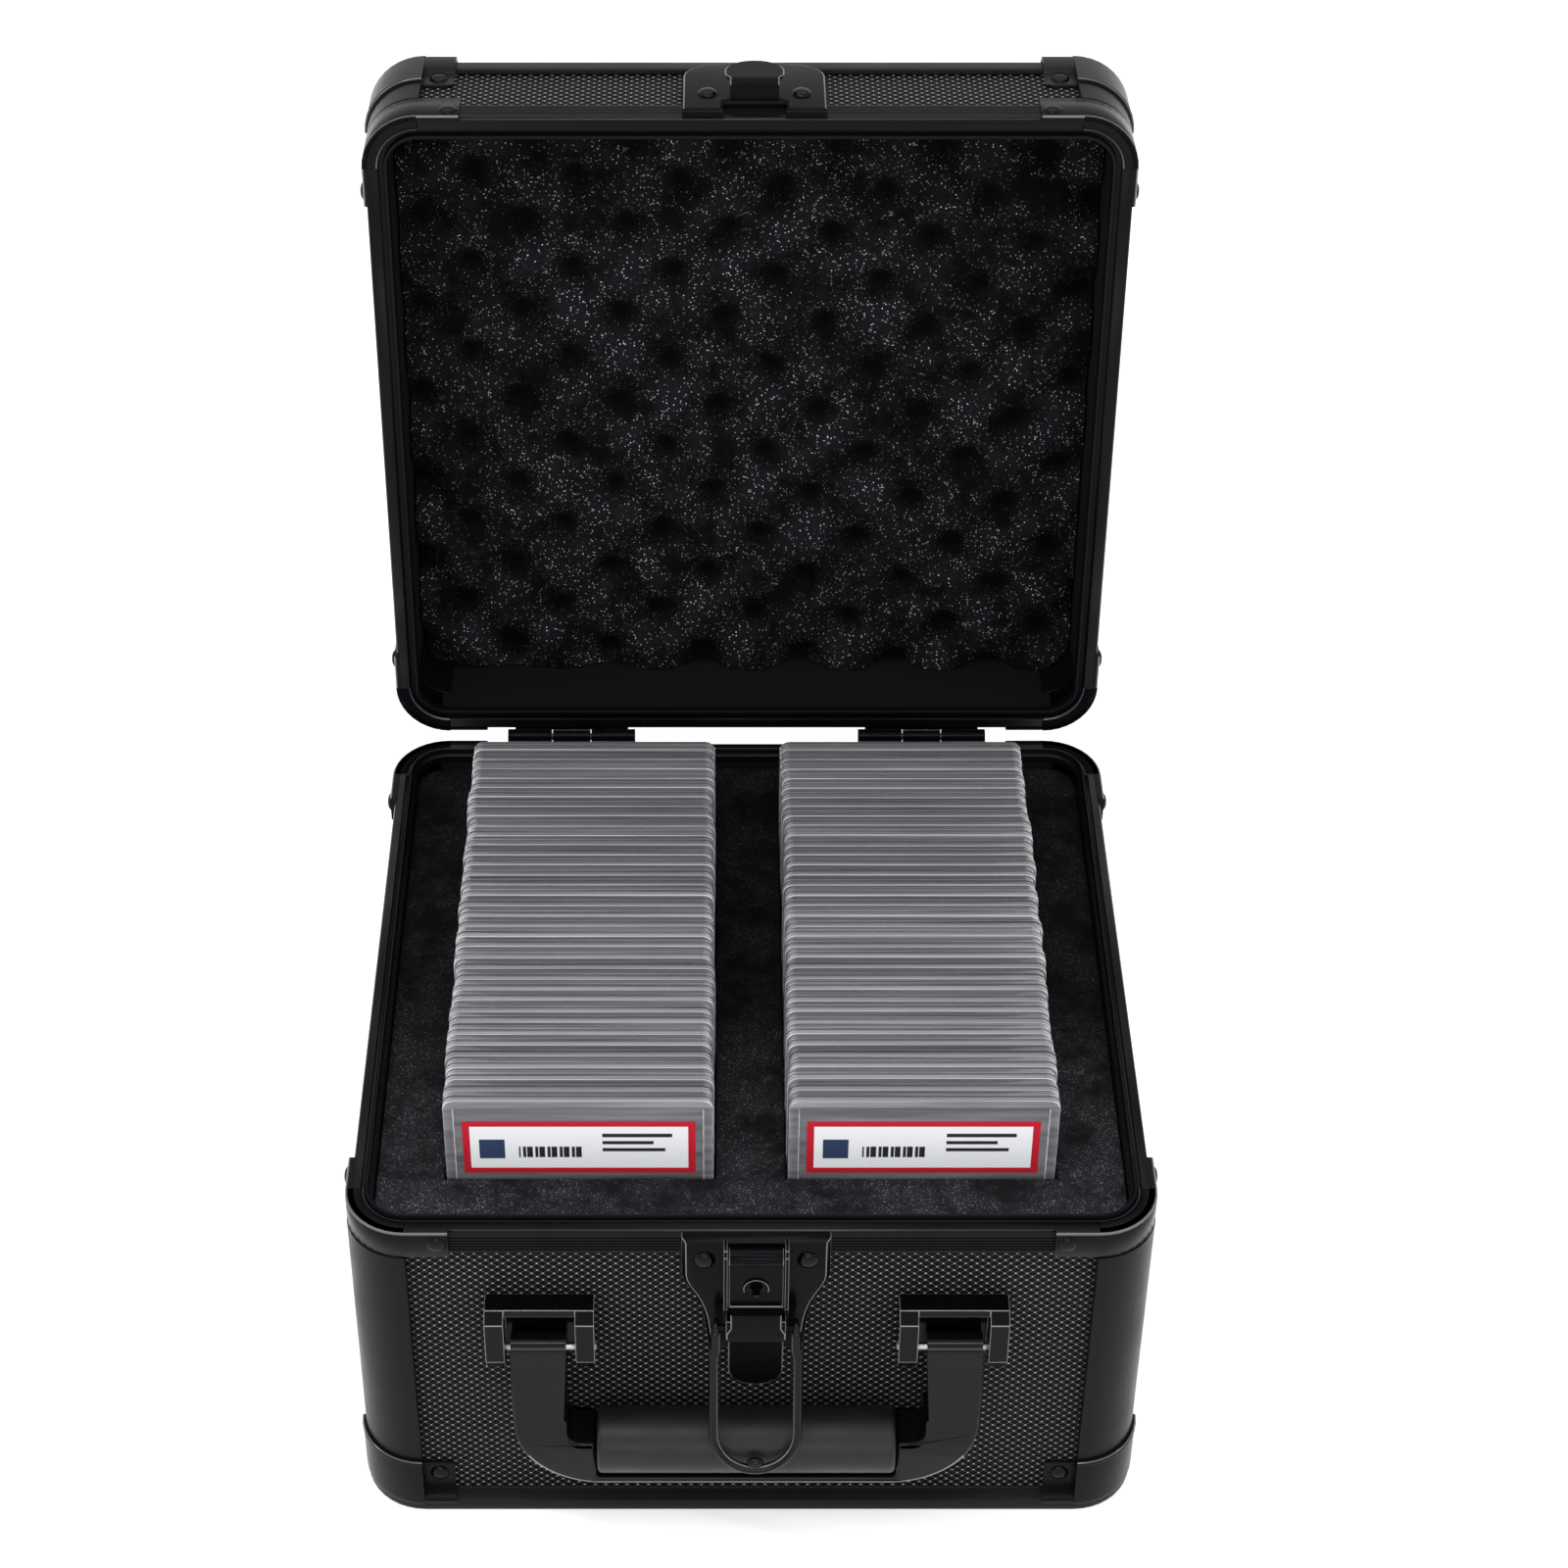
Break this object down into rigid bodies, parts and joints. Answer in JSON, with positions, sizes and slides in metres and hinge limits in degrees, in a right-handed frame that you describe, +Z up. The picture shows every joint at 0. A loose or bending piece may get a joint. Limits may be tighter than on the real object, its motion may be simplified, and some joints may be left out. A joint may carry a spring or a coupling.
{
  "type": "graded card carrying case",
  "caption": "Hard-sided carrying case with riveted corners, hinged lid, wire-bail latch, swinging handle and foam slots holding rows of clear card slabs.",
  "frame": {"origin": "on the floor, under the middle of the whole case as it stands open", "axes": "+Z up, -Y towards the front with the latch and handle, +X to the right of someone facing that front"},
  "size_m": [0.2458, 0.3204, 0.3696],
  "materials": {
    "frame_black": "satin",
    "corner_black": "gloss",
    "board_black": "embossed diamond mesh",
    "latch_black": "dark polished",
    "handle_black": "gloss",
    "grip_black": "matte",
    "foam_black": "open-pored foam",
    "slab_clear": "clear polished"
  },
  "bodies": {
    "base": {"base_floor_board": "board_black", "base_front_board": "board_black", "base_back_board": "board_black", "base_left_board": "board_black", "base_right_board": "board_black", "base_rail_frame": "frame_black", "base_rim_frame": "frame_black", "base_front_left_post": "frame_black", "base_front_right_post": "frame_black", "base_back_left_post": "frame_black", "base_back_right_post": "frame_black", "base_front_left_rim_corner": "corner_black", "base_front_right_rim_corner": "corner_black", "base_back_left_rim_corner": "corner_black", "base_back_right_rim_corner": "corner_black", "base_front_left_cap": "corner_black", "base_front_right_cap": "corner_black", "base_back_left_cap": "corner_black", "base_back_right_cap": "corner_black", "base_foam_insert": "foam_black", "latch_plate": "latch_black", "handle_bracket_left": "handle_black", "handle_bracket_right": "handle_black", "hinge_base_leaf_left": "latch_black", "hinge_base_leaf_right": "latch_black", "hinge_pin_left": "latch_black", "hinge_pin_right": "latch_black"},
    "lid": {"lid_floor_board": "board_black", "lid_front_board": "board_black", "lid_back_board": "board_black", "lid_left_board": "board_black", "lid_right_board": "board_black", "lid_rail_frame": "frame_black", "lid_rim_frame": "frame_black", "lid_front_left_post": "frame_black", "lid_front_right_post": "frame_black", "lid_back_left_post": "frame_black", "lid_back_right_post": "frame_black", "lid_front_left_rim_corner": "corner_black", "lid_front_right_rim_corner": "corner_black", "lid_back_left_rim_corner": "corner_black", "lid_back_right_rim_corner": "corner_black", "lid_front_left_cap": "corner_black", "lid_front_right_cap": "corner_black", "lid_back_left_cap": "corner_black", "lid_back_right_cap": "corner_black", "lid_egg_crate_foam": "foam_black", "lid_keeper": "latch_black", "hinge_lid_leaf_left": "latch_black", "hinge_lid_leaf_right": "latch_black"},
    "handle": {"handle_frame": "handle_black", "handle_grip": "grip_black"},
    "latch_lever": {"latch_lever": "latch_black", "bail_pin": "latch_black"},
    "lock_cylinder": {"lock_cylinder": "latch_black"},
    "wire_bail": {"wire_bail": "latch_black"},
    "front_slab_left": {"front_slab_left": "slab_clear"},
    "front_slab_right": {"front_slab_right": "slab_clear"},
    "slab_row_left": {"slab_row_left": "slab_clear"},
    "slab_row_right": {"slab_row_right": "slab_clear"}
  },
  "joints": [
    {"name": "lid_hinge", "type": "hinge", "parent": "base", "child": "lid", "pos_m": [0, 0.10024, 0.1272], "axis": [-1, 0, 0], "range_deg": [-93.3, 0]},
    {"name": "handle_swing", "type": "hinge", "parent": "base", "child": "handle", "pos_m": [-0.0013, -0.13761, 0.081], "axis": [-1, 0, 0], "range_deg": [0, 95]},
    {"name": "latch_lever_swing", "type": "hinge", "parent": "base", "child": "latch_lever", "pos_m": [0.0014, -0.13821, 0.121], "axis": [-1, 0, 0], "range_deg": [0, 80]},
    {"name": "lock_turn", "type": "hinge", "parent": "latch_lever", "child": "lock_cylinder", "pos_m": [0.0014, -0.13981, 0.1095], "axis": [0, -1, 0], "range_deg": [0, 90]},
    {"name": "bail_swing", "type": "hinge", "parent": "latch_lever", "child": "wire_bail", "pos_m": [0.0014, -0.14101, 0.093], "axis": [1, 0, 0], "range_deg": [-164.5, 0]},
    {"name": "front_slab_left_lift", "type": "slide", "parent": "base", "child": "front_slab_left", "axis": [0, 0, 1], "range_m": [0, 0.14]},
    {"name": "front_slab_right_lift", "type": "slide", "parent": "base", "child": "front_slab_right", "axis": [0, 0, 1], "range_m": [0, 0.14]},
    {"name": "slab_row_left_lift", "type": "slide", "parent": "base", "child": "slab_row_left", "axis": [0, 0, 1], "range_m": [0, 0.14]},
    {"name": "slab_row_right_lift", "type": "slide", "parent": "base", "child": "slab_row_right", "axis": [0, 0, 1], "range_m": [0, 0.14]}
  ],
  "couplings": [
    {"joint": "handle_swing", "follows": "bail_swing", "ratio": -0.5775}
  ]
}
